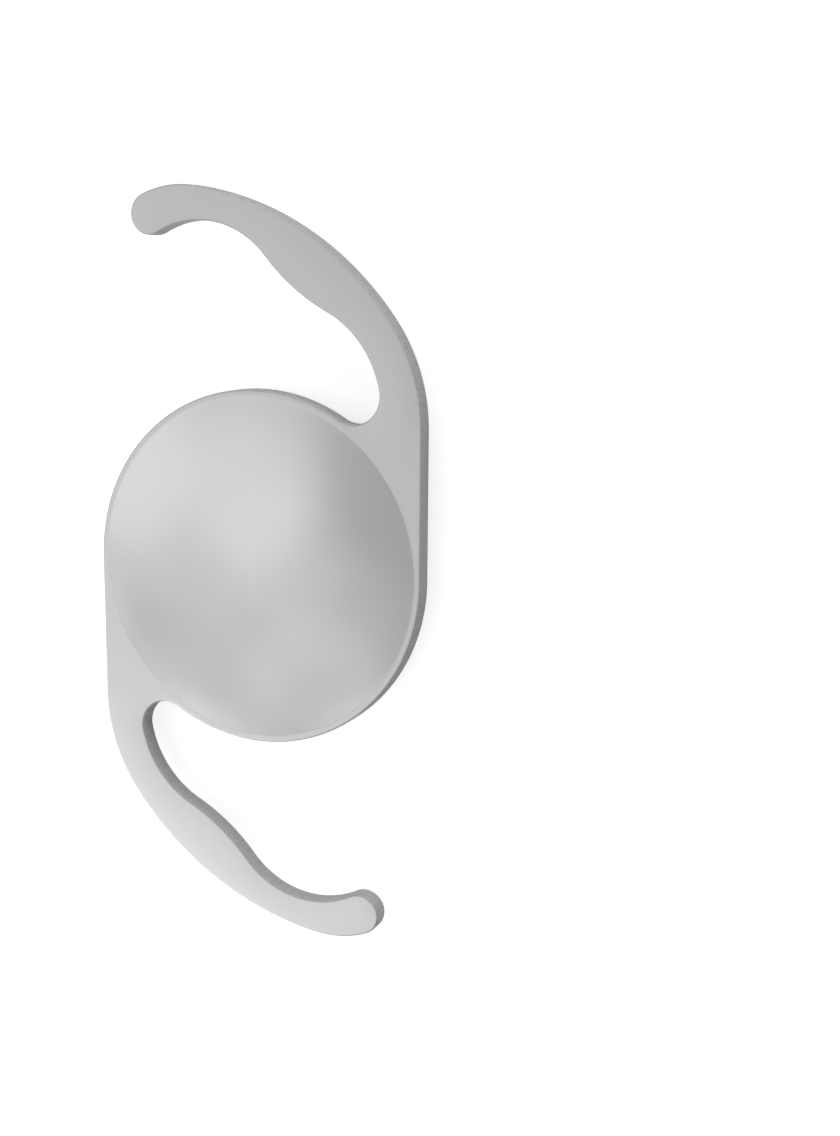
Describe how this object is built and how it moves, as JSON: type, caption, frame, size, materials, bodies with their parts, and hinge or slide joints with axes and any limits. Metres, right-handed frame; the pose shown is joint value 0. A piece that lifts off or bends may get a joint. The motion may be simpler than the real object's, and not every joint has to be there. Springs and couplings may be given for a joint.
{
  "type": "intraocular lens",
  "caption": "Foldable one-piece intraocular lens: a round biconvex optic with two open C-loop haptics on opposite sides.",
  "frame": {"origin": "centre of the optic, halfway through its thickness", "axes": "+Z along the optical axis towards the front of the lens, with the rounded front edge and the haptics running counter-clockwise seen from there; +Y towards the haptic that leaves the +X side; +X across the optic from one haptic's straight side to the other's"},
  "size_m": [0.006, 0.0126, 0.0008],
  "materials": {
    "acrylic": "satin moulded acrylic, pale grey, smooth and slightly glossy"
  },
  "bodies": {
    "root": {"lens": "acrylic"}
  },
  "joints": []
}
